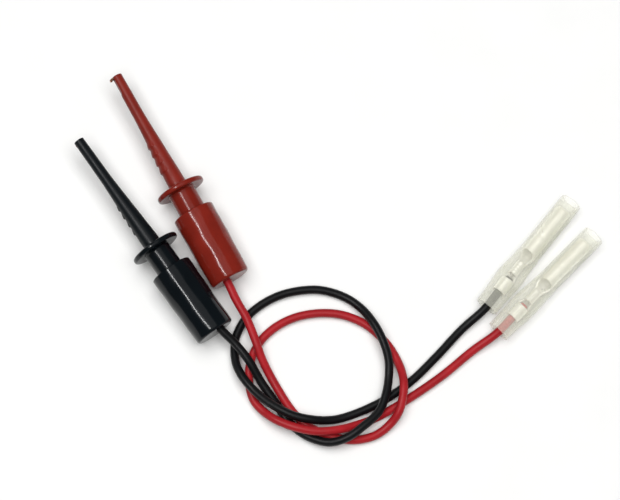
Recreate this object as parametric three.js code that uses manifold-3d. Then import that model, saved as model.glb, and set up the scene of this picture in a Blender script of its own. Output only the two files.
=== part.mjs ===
// A pair of hook clip test leads, one red and one black, lying on a table. Millimetres, +Z up.
// Each lead is a plunger-action hook clip, a soft wire and a female bullet terminal in a clear sleeve.
// Every clip and sleeve is modelled along its own +Y axis and then laid on the table, z = 0.
import * as THREE from "three";
import { mergeVertices } from "three/addons/utils/BufferGeometryUtils.js";
import Module from "manifold-3d";

const wasm = await Module();
wasm.setup();

// --- Driving dimensions -----------------------------------------------------------------------

const GAP = 0.3; // clearance between touching pieces
const WELD = 1e-4; // vertices closer than this are one
const ROUND_SIDES = 28; // facets round a large turned piece
const SMALL_SIDES = 16; // facets round a small one
const FINE_SIDES = 8; // facets round a wire

// Clip, measured along its axis from the rear face of the cap (0) to the tip of the nozzle.
const CLIP_LENGTH = 53.7;
const CAP_RADIUS = 4.65; // at its rear end
const CAP_FRONT_RADIUS = 4.9;
const CAP_LENGTH = 17.5;
const CAP_EDGE = 0.7; // rounding of the cap's rear edge
const CAP_CHAMFER = 0.35;
const CAP_BORE = 3.65;
const CAP_CHAMBER = 2.9; // radius of the rear chamber, where the wire is soldered
const CAP_HOLE = 1.3; // radius of the wire's hole in the rear wall
const CAP_WALL = 1.4; // thickness of the rear wall
const LEDGE = 6.3; // where the chamber opens into the bore, and the washer sits
const WASHER_THICKNESS = 0.6;
const FLANGE = 23.4; // middle of the finger flange
const FLANGE_RADIUS = 5.7;
const FLANGE_THICKNESS = 1.2;
const FLANGE_EDGE = 0.25;
const TRAVEL = 4.8; // how far the barrel is drawn back into the cap
const NECK_RADIUS = 3.1;
const NECK_EDGE = 0.2;
const NECK_END = LEDGE + GAP + WASHER_THICKNESS + TRAVEL + NECK_EDGE;
const POCKET_RADIUS = 2.35; // spring pocket in the neck
const POCKET_END = 16.2;
const NOZZLE_BASE = 2.05;
const NOZZLE_START = FLANGE + 3; // the nozzle runs clear of the fillet in front of the flange
const FILLET = 0.75;
const NOZZLE_WAIST = 1.3; // radius where the taper eases
const NOZZLE_WAIST_AT = 42.2;
const NOZZLE_TIP = 1.2;
const TIP_EDGE = 0.2;
const TIP_FLAT = 0.98; // distance of the tip's flat from the axis
const TIP_FLAT_LENGTH = 4;
const RIB_AT = 28.7; // first of the grip ribs on one side of the nozzle
const RIB_PITCH = 2.15;
const RIB_COUNT = 4;
const RIB_HEIGHT = 0.28;
const RIB_RAMP = 1.4; // length of a rib's shallow side
const RIB_DROP = 0.5; // length of its steep side
const RIB_ROOT = 0.15; // depth a rib starts inside the nozzle
const RIB_REACH = 1.1; // the ribs stop this far from the plane through the axis

const HOOK_RADIUS = 0.33;
const HOOK_TAIL = 5.2;
const HOOK_TOP = 53.4; // height of the bent-over end
const HOOK_REACH = 1.85;
const HOOK_STRAIGHT = 52.1; // where the bend starts
const HOOK_OVERLAP = 0.3; // the stem runs this far into the bend
const HOOK_STEPS = 12;
const HOOK_BORE = HOOK_RADIUS + GAP;
const HOOK_NOTCH_GAP = 0.37; // between the bent-over end and the bottom of its notch
// The bend, as [distance from the axis, distance along the clip].
const HOOK_BEND = [
  [0, HOOK_STRAIGHT],
  [0, HOOK_STRAIGHT + 0.6],
  [-0.17, HOOK_TOP - 0.25],
  [-0.55, HOOK_TOP - 0.02],
  [-1.1, HOOK_TOP],
  [-1.6, HOOK_TOP - 0.15],
  [-HOOK_REACH, HOOK_TOP - 0.5],
];
const WASHER_RADIUS = CAP_BORE - GAP;
const SOLDER_AT = HOOK_TAIL + 0.5;
const SOLDER_REACH = [1.75, 0.6, 1.1]; // half the blob's width, length and depth
const SOLDER_GAP = 0.1;
const SPRING_WIRE = 0.2; // radius of the spring's wire
const SPRING_RADIUS = 1.9; // to the middle of its wire
const SPRING_TURNS = 7;
const SPRING_TURN_STEPS = 10;
const SPRING_SIDES = 5;
const SPRING_SEAT = SPRING_WIRE + 0.1; // from the middle of its end coil to what it rests on

// Wire
const WIRE_RADIUS = 0.95;
const WIRE_BORE = 0.7;
const CONDUCTOR_RADIUS = 0.48;
const WIRE_STEPS = 48;
const WIRE_START = HOOK_TAIL + 0.7; // where the conductor ends, in the solder
const WIRE_ENTRY = [0, -0.5, -0.4]; // a point of the wire just outside the sleeve, seen from it
const WIRE_OFFSET = 1.15; // the conductor is soldered this far to one side of the hook

// Terminal and sleeve, measured from the sleeve's wire end (0) to its socket end.
const SLEEVE_LENGTH = 31.2;
const SLEEVE_WALL = 0.4;
const SLEEVE_WIDE = 2.7; // outer radius over the crimps
const SLEEVE_SLIM = 2.55; // outer radius over the socket
const SLEEVE_STEP = 15.3; // where it steps from wide to slim
const SLEEVE_TAPER = 0.4; // half the length of the step
const TERMINAL_AT = 4.5; // rear end of the terminal
const TERMINAL_LENGTH = 24;
const TERMINAL_WALL = 0.35;
const SOCKET_RADIUS = 1.85;
const WIRE_CRIMP_RADIUS = 1.55;
const CORE_CRIMP_RADIUS = 1.1;
const CORE_CRIMP_END = 8.3; // end of the conductor's crimp, from the terminal's rear
const CRIMP_WRAP = 345; // degrees that a closed crimp wraps round
const OPEN_WRAP = 165; // and an open channel
const SEAM_WRAP = 352; // and the socket, which has a seam along its top
const STRIP_STEPS = 12; // facets across the strip
// Distance from the terminal's rear end, outer radius, and degrees that the strip wraps round.
const TERMINAL_STATIONS = [
  [0, WIRE_CRIMP_RADIUS, CRIMP_WRAP],
  [3.4, WIRE_CRIMP_RADIUS, CRIMP_WRAP],
  [3.6, WIRE_CRIMP_RADIUS, OPEN_WRAP],
  [4.9, CORE_CRIMP_RADIUS + 0.1, OPEN_WRAP],
  [5.2, CORE_CRIMP_RADIUS, CRIMP_WRAP],
  [CORE_CRIMP_END, CORE_CRIMP_RADIUS, CRIMP_WRAP],
  [CORE_CRIMP_END + 0.3, CORE_CRIMP_RADIUS + 0.1, OPEN_WRAP],
  [10.6, SOCKET_RADIUS - 0.1, 180],
  [11.2, SOCKET_RADIUS, 260],
  [11.8, SOCKET_RADIUS, SEAM_WRAP],
  [TERMINAL_LENGTH - 0.3, SOCKET_RADIUS, SEAM_WRAP],
  [TERMINAL_LENGTH, SOCKET_RADIUS - 0.08, SEAM_WRAP],
];

// Where each clip's rear face and each sleeve's wire end lie, with the direction of the axis in degrees
// from +X. The wire leaves the cap's rear wall at exit, to one side of the axis.
const LEADS = {
  red: {
    clip: { x: 15.81, y: -16.39, heading: 119.3 },
    roll: 8,
    exit: -0.9,
    terminalRoll: 0,
    sleeve: { x: 75.51, y: -27.87, heading: 45.1 },
    route: [
      [17.0, -20.9, 4.2],
      [19.4, -25.1, 3.7],
      [21.5, -30.4, 3.5],
      [22.9, -34.2, 2.4],
      [24.8, -37.9, 1.2],
      [27.0, -41.7, 1.1],
      [29.3, -45.2, 1.1],
      [32.1, -48.2, 1.1],
      [35.6, -50.2, 1.1],
      [39.4, -51.5, 1.1],
      [43.4, -52.0, 1.1],
      [48.1, -50.9, 1.1],
      [51.4, -48.4, 1.8],
      [53.2, -45.9, 3.1],
      [54.1, -42.6, 3.6],
      [54.3, -39.6, 3.4],
      [53.8, -36.4, 2.0],
      [52.2, -32.6, 1.1],
      [49.9, -29.4, 1.1],
      [45.6, -25.7, 1.1],
      [39.4, -23.5, 1.1],
      [32.2, -23.8, 1.1],
      [26.8, -25.9, 1.1],
      [22.7, -29.4, 1.1],
      [20.4, -33.8, 1.1],
      [19.9, -38.5, 1.1],
      [20.9, -42.9, 1.1],
      [23.1, -45.6, 1.7],
      [26.1, -47.8, 3.0],
      [30.3, -49.5, 3.6],
      [35.3, -50.4, 3.6],
      [39.5, -50.0, 3.1],
      [43.3, -48.9, 1.7],
      [48.2, -47.0, 1.1],
      [56.0, -42.4, 1.1],
      [63.2, -37.4, 1.1],
      [69.9, -31.9, 1.3],
    ],
    plastic: { color: 0x8e1f1c, roughness: 0.28, metalness: 0 },
    wire: { color: 0xc02833, roughness: 0.45, metalness: 0 },
  },
  black: {
    clip: { x: 12.53, y: -28.46, heading: 125.6 },
    roll: -58,
    exit: 1.4,
    terminalRoll: -30,
    sleeve: { x: 72.94, y: -22.23, heading: 50.9 },
    route: [
      [16.9, -30.8, 3.8],
      [19.8, -34.4, 3.5],
      [22.7, -39.2, 1.9],
      [25.9, -43.7, 1.1],
      [28.4, -47.5, 1.1],
      [32.4, -50.9, 1.3],
      [37.7, -52.7, 2.5],
      [41.7, -51.8, 3.6],
      [45.2, -49.4, 4.0],
      [48.8, -45.9, 3.6],
      [50.3, -42.2, 3.2],
      [51.0, -38.2, 2.6],
      [51.0, -34.3, 3.0],
      [49.9, -30.4, 3.5],
      [47.9, -26.3, 3.2],
      [45.0, -22.4, 1.8],
      [41.1, -19.6, 1.1],
      [35.3, -18.0, 1.1],
      [28.6, -18.7, 1.1],
      [24.3, -20.4, 1.1],
      [20.7, -22.9, 1.1],
      [18.4, -25.6, 1.1],
      [16.8, -29.5, 1.1],
      [16.9, -34.4, 1.9],
      [18.2, -37.6, 2.9],
      [20.2, -40.3, 3.5],
      [22.8, -42.8, 3.5],
      [26.4, -45.2, 3.5],
      [30.0, -46.9, 3.5],
      [33.8, -47.7, 3.2],
      [37.4, -47.7, 1.9],
      [41.0, -47.0, 1.1],
      [48.9, -43.7, 1.1],
      [55.7, -39.1, 1.1],
      [61.7, -33.3, 1.1],
      [67.5, -27.1, 1.3],
    ],
    plastic: { color: 0x15191b, roughness: 0.25, metalness: 0 },
    wire: { color: 0x232528, roughness: 0.45, metalness: 0 },
  },
};

const BRONZE = { color: 0x9a6b45, roughness: 0.35, metalness: 1 };
const BRASS = { color: 0xb89b5a, roughness: 0.4, metalness: 1 };
const SOLDER = { color: 0xb9bcc0, roughness: 0.3, metalness: 1 };
const STEEL = { color: 0xa8abae, roughness: 0.3, metalness: 1 };
const TINNED_COPPER = { color: 0xbdb7ad, roughness: 0.35, metalness: 1 };
const TINNED = { color: 0xc9c7c0, roughness: 0.28, metalness: 1 };
const CLEAR_VINYL = {
  color: 0xe6e8d6,
  roughness: 0.3,
  metalness: 0,
  transparent: true,
  opacity: 0.45,
};

// --- Solids -----------------------------------------------------------------------------------

/** A closed three.js geometry as a manifold solid. */
function solidOf(geometry) {
  const bare = geometry.clone();
  bare.deleteAttribute("normal");
  bare.deleteAttribute("uv");
  const merged = mergeVertices(bare, WELD);
  return new wasm.Manifold(
    new wasm.Mesh({
      numProp: 3,
      vertProperties: merged.attributes.position.array,
      triVerts: new Uint32Array(merged.index.array),
    }),
  );
}

/** A manifold solid as a three.js geometry. */
function geometryOf(solid) {
  const mesh = solid.getMesh();
  const geometry = new THREE.BufferGeometry();
  geometry.setAttribute("position", new THREE.BufferAttribute(mesh.vertProperties, 3));
  geometry.setIndex(new THREE.BufferAttribute(mesh.triVerts, 1));
  return geometry;
}

/** A ring or tube turned round the Y axis from an outline of [radius, height] points. */
function turned(outline, sides) {
  const points = outline.map(([radius, height]) => new THREE.Vector2(radius, height));
  points.push(points[0].clone());
  return new THREE.LatheGeometry(points, sides);
}

/** A cylinder along Y from height a to height b. */
function rod(radius, a, b, sides, x = 0) {
  const cylinder = new THREE.CylinderGeometry(radius, radius, b - a, sides);
  return cylinder.translate(x, (a + b) / 2, 0);
}

/** A round bar of the given radius swept along a curve. */
function swept(curve, radius, sides, steps, bore = 0) {
  const section = new THREE.Shape(circle(radius, sides));
  if (bore > 0) {
    section.holes.push(new THREE.Path(circle(bore, sides)));
  }
  return new THREE.ExtrudeGeometry(section, { steps, extrudePath: curve });
}

/** The corners of a regular polygon round the origin. */
function circle(radius, sides) {
  return Array.from({ length: sides }, (_, i) => {
    const angle = (2 * Math.PI * i) / sides;
    return new THREE.Vector2(radius * Math.cos(angle), radius * Math.sin(angle));
  });
}

function mesh(name, geometry, look) {
  const made = new THREE.Mesh(geometry, new THREE.MeshStandardMaterial(look));
  made.name = name;
  return made;
}

/** Points along a quarter round from one angle to another, in degrees. */
function arc(x, y, radius, from, to, count) {
  return Array.from({ length: count + 1 }, (_, i) => {
    const angle = THREE.MathUtils.degToRad(from + ((to - from) * i) / count);
    return [x + radius * Math.cos(angle), y + radius * Math.sin(angle)];
  });
}

// --- Clip -------------------------------------------------------------------------------------

/** The round button behind the flange: a rear wall with a hole, a solder chamber and a bore. */
function capShape(exit) {
  const inner = CAP_RADIUS - CAP_EDGE;
  const cup = turned(
    [
      [0, 0],
      ...arc(inner, CAP_EDGE, CAP_EDGE, -90, 0, 3),
      [CAP_FRONT_RADIUS, CAP_LENGTH - CAP_CHAMFER],
      [CAP_FRONT_RADIUS - CAP_CHAMFER, CAP_LENGTH],
      [CAP_BORE, CAP_LENGTH],
      [CAP_BORE, LEDGE],
      [CAP_CHAMBER, LEDGE],
      [CAP_CHAMBER, CAP_WALL],
      [0, CAP_WALL],
    ],
    ROUND_SIDES,
  );
  const hole = rod(CAP_HOLE, -CAP_WALL, 2 * CAP_WALL, SMALL_SIDES, exit);
  return geometryOf(solidOf(cup).subtract(solidOf(hole)));
}

/** Radius of the nozzle at a distance along the clip. */
function nozzleRadius(at) {
  if (at < NOZZLE_WAIST_AT) {
    return THREE.MathUtils.mapLinear(at, NOZZLE_START, NOZZLE_WAIST_AT, NOZZLE_BASE, NOZZLE_WAIST);
  }
  return THREE.MathUtils.mapLinear(at, NOZZLE_WAIST_AT, CLIP_LENGTH, NOZZLE_WAIST, NOZZLE_TIP);
}

/** Nozzle, flange and neck in one moulding, bored for the hook and pocketed for the spring. */
function barrelShape() {
  const rear = FLANGE - FLANGE_THICKNESS / 2;
  const front = FLANGE + FLANGE_THICKNESS / 2;
  const body = turned(
    [
      [POCKET_RADIUS, NECK_END],
      [NECK_RADIUS - NECK_EDGE, NECK_END],
      [NECK_RADIUS, NECK_END + NECK_EDGE],
      [NECK_RADIUS, rear],
      [FLANGE_RADIUS - FLANGE_EDGE, rear],
      [FLANGE_RADIUS, rear + FLANGE_EDGE],
      [FLANGE_RADIUS, front - FLANGE_EDGE],
      [FLANGE_RADIUS - FLANGE_EDGE, front],
      ...arc(NOZZLE_BASE + FILLET, front + FILLET, FILLET, 270, 190, 3),
      [nozzleRadius(NOZZLE_START), NOZZLE_START],
      [NOZZLE_WAIST, NOZZLE_WAIST_AT],
      [NOZZLE_TIP, CLIP_LENGTH - TIP_EDGE],
      [NOZZLE_TIP - TIP_EDGE, CLIP_LENGTH],
      [HOOK_BORE, CLIP_LENGTH],
      [HOOK_BORE, POCKET_END],
      [POCKET_RADIUS, POCKET_END],
    ],
    ROUND_SIDES,
  );
  const bare = solidOf(body);
  const ribbed = ribs().reduce((solid, rib) => solid.add(rib), bare);
  return geometryOf(ribbed.subtract(solidOf(hookSlot())).subtract(solidOf(tipFlat())));
}

/** Low saw-tooth ribs across one side of the nozzle, steep towards the flange. */
function ribs() {
  const span = (RIB_COUNT + 1) * RIB_PITCH;
  const block = new THREE.BoxGeometry(NECK_RADIUS, span, 2 * NECK_RADIUS);
  block.translate(-RIB_REACH - NECK_RADIUS / 2, RIB_AT + span / 2 - RIB_PITCH / 2, 0);
  const side = solidOf(block);
  return Array.from({ length: RIB_COUNT }, (_, i) => {
    const crest = RIB_AT + i * RIB_PITCH;
    const root = nozzleRadius(crest) - RIB_ROOT;
    const top = nozzleRadius(crest) + RIB_HEIGHT;
    const tooth = new THREE.LatheGeometry(
      [
        new THREE.Vector2(0, crest - RIB_DROP),
        new THREE.Vector2(root, crest - RIB_DROP),
        new THREE.Vector2(top, crest),
        new THREE.Vector2(root, crest + RIB_RAMP),
        new THREE.Vector2(0, crest + RIB_RAMP),
      ],
      SMALL_SIDES,
    );
    return solidOf(tooth).intersect(side);
  });
}

/** The notch in the nozzle's end that the bent-over hook lies in. */
function hookSlot() {
  const depth = CLIP_LENGTH - HOOK_TOP + HOOK_RADIUS + HOOK_NOTCH_GAP;
  const slot = new THREE.BoxGeometry(NECK_RADIUS + HOOK_BORE, 2 * depth, 2 * HOOK_BORE);
  return slot.translate((HOOK_BORE - NECK_RADIUS) / 2, CLIP_LENGTH, 0);
}

/** A flat along the last few millimetres of the nozzle, below the notch. */
function tipFlat() {
  const flat = new THREE.BoxGeometry(NOZZLE_TIP, 2 * TIP_FLAT_LENGTH, 2 * NECK_RADIUS);
  return flat.translate(-TIP_FLAT - NOZZLE_TIP / 2, CLIP_LENGTH, 0);
}

/** Springy wire down the middle of the clip, bent over at the tip into a small hook. */
function hookShape() {
  const bend = HOOK_BEND.map(([x, y]) => new THREE.Vector3(x, y, 0));
  const end = swept(new THREE.CatmullRomCurve3(bend), HOOK_RADIUS, FINE_SIDES, HOOK_STEPS);
  const stem = rod(HOOK_RADIUS, HOOK_TAIL, HOOK_STRAIGHT + HOOK_OVERLAP, FINE_SIDES);
  return geometryOf(solidOf(stem).add(solidOf(end)));
}

/** Brass disc on the cap's ledge: the spring pushes on it and the hook's tail passes through it. */
function washerShape() {
  const rear = LEDGE + GAP;
  return turned(
    [
      [HOOK_BORE, rear],
      [WASHER_RADIUS, rear],
      [WASHER_RADIUS, rear + WASHER_THICKNESS],
      [HOOK_BORE, rear + WASHER_THICKNESS],
    ],
    SMALL_SIDES,
  );
}

/** A lens of solder round the hook's tail and the end of the conductor. */
function solderShape(side) {
  const blob = new THREE.SphereGeometry(1, SMALL_SIDES, FINE_SIDES);
  blob.scale(...SOLDER_REACH);
  blob.translate((side * WIRE_OFFSET) / 2, SOLDER_AT, 0);
  const from = SOLDER_AT - CAP_CHAMBER;
  const to = SOLDER_AT + CAP_CHAMBER;
  const hookHole = rod(HOOK_RADIUS + SOLDER_GAP, from, to, FINE_SIDES);
  const wireHole = rod(CONDUCTOR_RADIUS + SOLDER_GAP, from, to, FINE_SIDES, side * WIRE_OFFSET);
  return geometryOf(solidOf(blob).subtract(solidOf(hookHole)).subtract(solidOf(wireHole)));
}

/** The return spring, between the washer and the bottom of the neck's pocket. */
function springShape() {
  const from = LEDGE + GAP + WASHER_THICKNESS + SPRING_SEAT;
  const to = POCKET_END - SPRING_SEAT;
  const steps = SPRING_TURNS * SPRING_TURN_STEPS;
  const points = Array.from({ length: steps + 1 }, (_, i) => {
    const angle = (2 * Math.PI * i) / SPRING_TURN_STEPS;
    const height = from + ((to - from) * i) / steps;
    return new THREE.Vector3(SPRING_RADIUS * Math.cos(angle), height, SPRING_RADIUS * Math.sin(angle));
  });
  return swept(new THREE.CatmullRomCurve3(points), SPRING_WIRE, SPRING_SIDES, steps);
}

/** The lean of a clip that rests on its flange and on the rear edge of its cap. */
function clipLean() {
  const run = FLANGE - FLANGE_THICKNESS / 2 + FLANGE_EDGE - CAP_EDGE;
  return Math.atan((FLANGE_RADIUS - CAP_RADIUS) / run);
}

/** Height of the middle of the cap's rear face above the table. */
function clipHeight() {
  const lean = clipLean();
  return (CAP_RADIUS - CAP_EDGE * Math.tan(lean)) * Math.cos(lean);
}

function clip(colour, lead) {
  const assembly = new THREE.Group();
  const turnedParts = new THREE.Group();
  turnedParts.rotation.y = THREE.MathUtils.degToRad(lead.roll);
  turnedParts.add(mesh(`${colour}_barrel`, barrelShape(), lead.plastic));
  turnedParts.add(mesh(`${colour}_hook`, hookShape(), BRONZE));
  turnedParts.add(mesh(`${colour}_contact_washer`, washerShape(), BRASS));
  turnedParts.add(mesh(`${colour}_return_spring`, springShape(), STEEL));
  assembly.add(turnedParts);
  assembly.add(mesh(`${colour}_plunger_cap`, capShape(lead.exit), lead.plastic));
  assembly.add(mesh(`${colour}_solder_joint`, solderShape(Math.sign(lead.exit)), SOLDER));
  lay(assembly, lead.clip, clipHeight(), clipLean());
  return assembly;
}

// --- Terminal and sleeve ----------------------------------------------------------------------

/** Clear soft tube, open at both ends, wide over the crimps and slim over the socket. */
function sleeveShape() {
  return turned(
    [
      [SLEEVE_WIDE - SLEEVE_WALL, 0],
      [SLEEVE_WIDE, 0],
      [SLEEVE_WIDE, SLEEVE_STEP - SLEEVE_TAPER],
      [SLEEVE_SLIM, SLEEVE_STEP + SLEEVE_TAPER],
      [SLEEVE_SLIM, SLEEVE_LENGTH],
      [SLEEVE_SLIM - SLEEVE_WALL, SLEEVE_LENGTH],
      [SLEEVE_SLIM - SLEEVE_WALL, SLEEVE_STEP + SLEEVE_TAPER],
      [SLEEVE_WIDE - SLEEVE_WALL, SLEEVE_STEP - SLEEVE_TAPER],
    ],
    ROUND_SIDES,
  );
}

/** One station of the rolled strip: a thick arc, open at the top by 360 degrees less the wrap. */
function stripSection(at, radius, wrap) {
  const half = THREE.MathUtils.degToRad(wrap / 2);
  const ring = [];
  for (const [reach, way] of [
    [radius, 1],
    [radius - TERMINAL_WALL, -1],
  ]) {
    for (let i = 0; i <= STRIP_STEPS; i++) {
      const angle = way * half * (1 - (2 * i) / STRIP_STEPS);
      ring.push(new THREE.Vector3(reach * Math.sin(angle), at, -reach * Math.cos(angle)));
    }
  }
  return ring;
}

/** A closed body through matching sections, each a thick arc of 2 * (count + 1) points. */
function lofted(sections, count) {
  const size = sections[0].length;
  const index = [];
  for (let s = 0; s + 1 < sections.length; s++) {
    for (let i = 0; i < size; i++) {
      const a = s * size + i;
      const b = s * size + ((i + 1) % size);
      index.push(a, b, a + size, b, b + size, a + size);
    }
  }
  const last = (sections.length - 1) * size;
  for (let i = 0; i < count; i++) {
    const across = size - 1 - i;
    index.push(i, across, i + 1, i + 1, across, across - 1);
    index.push(last + i, last + i + 1, last + across, last + i + 1, last + across - 1, last + across);
  }
  const geometry = new THREE.BufferGeometry().setFromPoints(sections.flat());
  return geometry.setIndex(index);
}

/** Female bullet terminal rolled from one strip: two crimps, an open channel and a round socket. */
function terminalShape() {
  const sections = TERMINAL_STATIONS.map(([at, radius, wrap]) => stripSection(at, radius, wrap));
  return lofted(sections, STRIP_STEPS);
}

function sleeveLean() {
  const run = SLEEVE_LENGTH - SLEEVE_STEP + SLEEVE_TAPER;
  return -Math.atan((SLEEVE_WIDE - SLEEVE_SLIM) / run);
}

/** Height of the sleeve's axis at its wire end: it rests on its socket end and on its step. */
function sleeveHeight() {
  return (SLEEVE_WIDE - (SLEEVE_STEP - SLEEVE_TAPER) * Math.tan(sleeveLean())) * Math.cos(sleeveLean());
}

function socketEnd(colour, lead) {
  const assembly = new THREE.Group();
  const terminal = mesh(`${colour}_bullet_terminal`, terminalShape(), TINNED);
  terminal.position.y = TERMINAL_AT;
  terminal.rotation.y = THREE.MathUtils.degToRad(lead.terminalRoll);
  assembly.add(terminal);
  assembly.add(mesh(`${colour}_clear_sleeve`, sleeveShape(), CLEAR_VINYL));
  lay(assembly, lead.sleeve, sleeveHeight(), sleeveLean());
  return assembly;
}

/** Lays a piece that is modelled along +Y on the table, with its own +Z kept upward. */
function lay(group, spot, height, lean) {
  const heading = THREE.MathUtils.degToRad(spot.heading);
  const along = new THREE.Vector3(
    Math.cos(lean) * Math.cos(heading),
    Math.cos(lean) * Math.sin(heading),
    Math.sin(lean),
  );
  const right = new THREE.Vector3(Math.sin(heading), -Math.cos(heading), 0);
  const up = right.clone().cross(along);
  group.quaternion.setFromRotationMatrix(new THREE.Matrix4().makeBasis(right, along, up));
  group.position.set(spot.x, spot.y, height);
  group.updateMatrix();
}

// --- Wires ------------------------------------------------------------------------------------

/** A stretch of a longer curve, from one share of its length to another. */
class Stretch extends THREE.Curve {
  constructor(whole, from, to) {
    super();
    this.whole = whole;
    this.from = from;
    this.to = to;
  }

  getPoint(t, target = new THREE.Vector3()) {
    return this.whole.getPointAt(this.from + (this.to - this.from) * t, target);
  }
}

/** The wire's middle line: from the solder joint, along the table and into the conductor's crimp. */
function wirePath(lead, clipGroup, socketGroup) {
  const start = [
    [Math.sign(lead.exit) * WIRE_OFFSET, WIRE_START, 0],
    [lead.exit, 0, 0],
  ].map((p) => new THREE.Vector3(...p).applyMatrix4(clipGroup.matrix));
  const end = [
    WIRE_ENTRY,
    [0, TERMINAL_AT, 0],
    [0, TERMINAL_AT + CORE_CRIMP_END, 0],
  ].map((p) => new THREE.Vector3(...p).applyMatrix4(socketGroup.matrix));
  const route = lead.route.map((p) => new THREE.Vector3(...p));
  const curve = new THREE.CatmullRomCurve3([...start, ...route, ...end]);
  curve.arcLengthDivisions = 2000;
  return curve;
}

function wire(colour, lead, path) {
  const bare = 1 / WIRE_STEPS;
  const covered = new Stretch(path, bare, 1 - bare);
  const core = swept(path, CONDUCTOR_RADIUS, FINE_SIDES, WIRE_STEPS);
  const cover = swept(covered, WIRE_RADIUS, FINE_SIDES, WIRE_STEPS - 2, WIRE_BORE);
  const pair = new THREE.Group();
  pair.add(mesh(`${colour}_wire_conductor`, core, TINNED_COPPER));
  pair.add(mesh(`${colour}_wire_insulation`, cover, lead.wire));
  return pair;
}

// --- Assembly ---------------------------------------------------------------------------------

function leadAssembly(colour, lead) {
  const assembly = new THREE.Group();
  const clipGroup = clip(colour, lead);
  const socketGroup = socketEnd(colour, lead);
  assembly.add(clipGroup, socketGroup, wire(colour, lead, wirePath(lead, clipGroup, socketGroup)));
  return assembly;
}

const model = new THREE.Group();
for (const [colour, lead] of Object.entries(LEADS)) {
  model.add(leadAssembly(colour, lead));
}

export default model;
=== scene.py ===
"""Looks for a pair of hook clip test leads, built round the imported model. Metres, +Z up.

Each piece is shaped in millimetres in the frame of its own clip, sleeve or wire, and placed once.
In a clip's frame +Y runs from the cap's rear face to the nozzle's tip. In a sleeve's frame +Y runs
from the wire to the socket. +Z is up and +X is to the right in both.
"""

import math

import bmesh
import bpy
from mathutils import Matrix, Vector, noise


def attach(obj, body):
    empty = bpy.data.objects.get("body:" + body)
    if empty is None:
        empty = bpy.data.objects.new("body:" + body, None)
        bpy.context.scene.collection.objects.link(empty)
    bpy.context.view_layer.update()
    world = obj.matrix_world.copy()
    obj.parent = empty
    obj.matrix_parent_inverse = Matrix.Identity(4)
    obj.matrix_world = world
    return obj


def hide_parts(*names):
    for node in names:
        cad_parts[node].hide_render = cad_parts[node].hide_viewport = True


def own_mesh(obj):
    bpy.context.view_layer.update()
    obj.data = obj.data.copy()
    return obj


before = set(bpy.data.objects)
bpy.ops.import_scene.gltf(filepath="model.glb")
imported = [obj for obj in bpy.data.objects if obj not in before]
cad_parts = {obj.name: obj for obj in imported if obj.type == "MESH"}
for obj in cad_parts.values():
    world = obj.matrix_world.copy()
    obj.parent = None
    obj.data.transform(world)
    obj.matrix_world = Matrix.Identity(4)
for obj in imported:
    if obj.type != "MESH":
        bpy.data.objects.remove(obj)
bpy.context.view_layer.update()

MM = 0.001
RED, BLACK = "red", "black"

# --- The CAD model's dimensions, in millimetres ------------------------------------------------

GAP = 0.3
CLIP_LENGTH = 53.7
CAP_RADIUS = 4.65  # at its rear end
CAP_FRONT_RADIUS = 4.9  # at its mouth
CAP_LENGTH = 17.5
CAP_EDGE = 0.7
CAP_BORE = 3.65
CAP_CHAMBER = 2.9
CAP_WALL = 1.4
LEDGE = 6.3
WASHER_THICKNESS = 0.6
FLANGE = 23.4
FLANGE_RADIUS = 5.7
FLANGE_THICKNESS = 1.2
FLANGE_EDGE = 0.25
NECK_RADIUS = 3.1
NECK_END = 12.2
POCKET_RADIUS = 2.35
POCKET_END = 16.2
NOZZLE_BASE = 2.05
NOZZLE_START = FLANGE + 3
FILLET = 0.75
NOZZLE_WAIST = 1.3
NOZZLE_WAIST_AT = 42.2
NOZZLE_TIP = 1.2
TIP_FLAT = 0.98
TIP_FLAT_LENGTH = 4
RIB_AT = 28.7
RIB_PITCH = 2.15
RIB_COUNT = 4
RIB_HEIGHT = 0.28
RIB_RAMP = 1.4
RIB_DROP = 0.35

HOOK_RADIUS = 0.33
HOOK_TAIL = 5.2
HOOK_TOP = 53.4
HOOK_REACH = 1.85
HOOK_STRAIGHT = 52.1
HOOK_BORE = HOOK_RADIUS + GAP
HOOK_BEND = [  # across the clip and along it, from the straight stem to the hook's end
    (0, HOOK_STRAIGHT),
    (0, HOOK_STRAIGHT + 0.6),
    (-0.17, HOOK_TOP - 0.25),
    (-0.55, HOOK_TOP - 0.02),
    (-1.1, HOOK_TOP),
    (-1.6, HOOK_TOP - 0.15),
    (-HOOK_REACH, HOOK_TOP - 0.5),
]
SPRING_WIRE = 0.2  # radius of the spring's own wire
SPRING_RADIUS = 1.9
SPRING_TURNS = 7
SPRING_SEAT = 0.1  # space between the spring and what it presses on
SOLDER_SHIFT = 0.55  # from the clip's axis towards the wire
SOLDER_AT = HOOK_TAIL + 0.5
SOLDER_SIZE = (1.75, 0.6, 1.1)  # half of its size along X, Y and Z

WIRE_RADIUS = 0.95
WIRE_BORE = 0.7
CONDUCTOR_RADIUS = 0.48
WIRE_OFFSET = 1.15
STRIPPED = 4.3  # bare conductor at each end
WIRE_START = 0.7  # from the hook's tail to the conductor's end
WIRE_ENTRY = (0, -0.5, -0.4)  # where the wire comes into the sleeve

SLEEVE_LENGTH = 31.2
SLEEVE_WALL = 0.4
SLEEVE_WIDE = 2.7
SLEEVE_SLIM = 2.55
SLEEVE_STEP = 15.3  # where it turns from wide to slim
SLEEVE_TAPER = 0.4  # half of the length that the turn takes
TERMINAL_AT = 4.5
TERMINAL_LENGTH = 24
TERMINAL_WALL = 0.35
SOCKET_RADIUS = 1.85
WIRE_CRIMP_RADIUS = 1.55
CORE_CRIMP_RADIUS = 1.1
CORE_CRIMP_END = 8.3

# --- Detail that the CAD model leaves out, in millimetres ---------------------------------------

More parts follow.
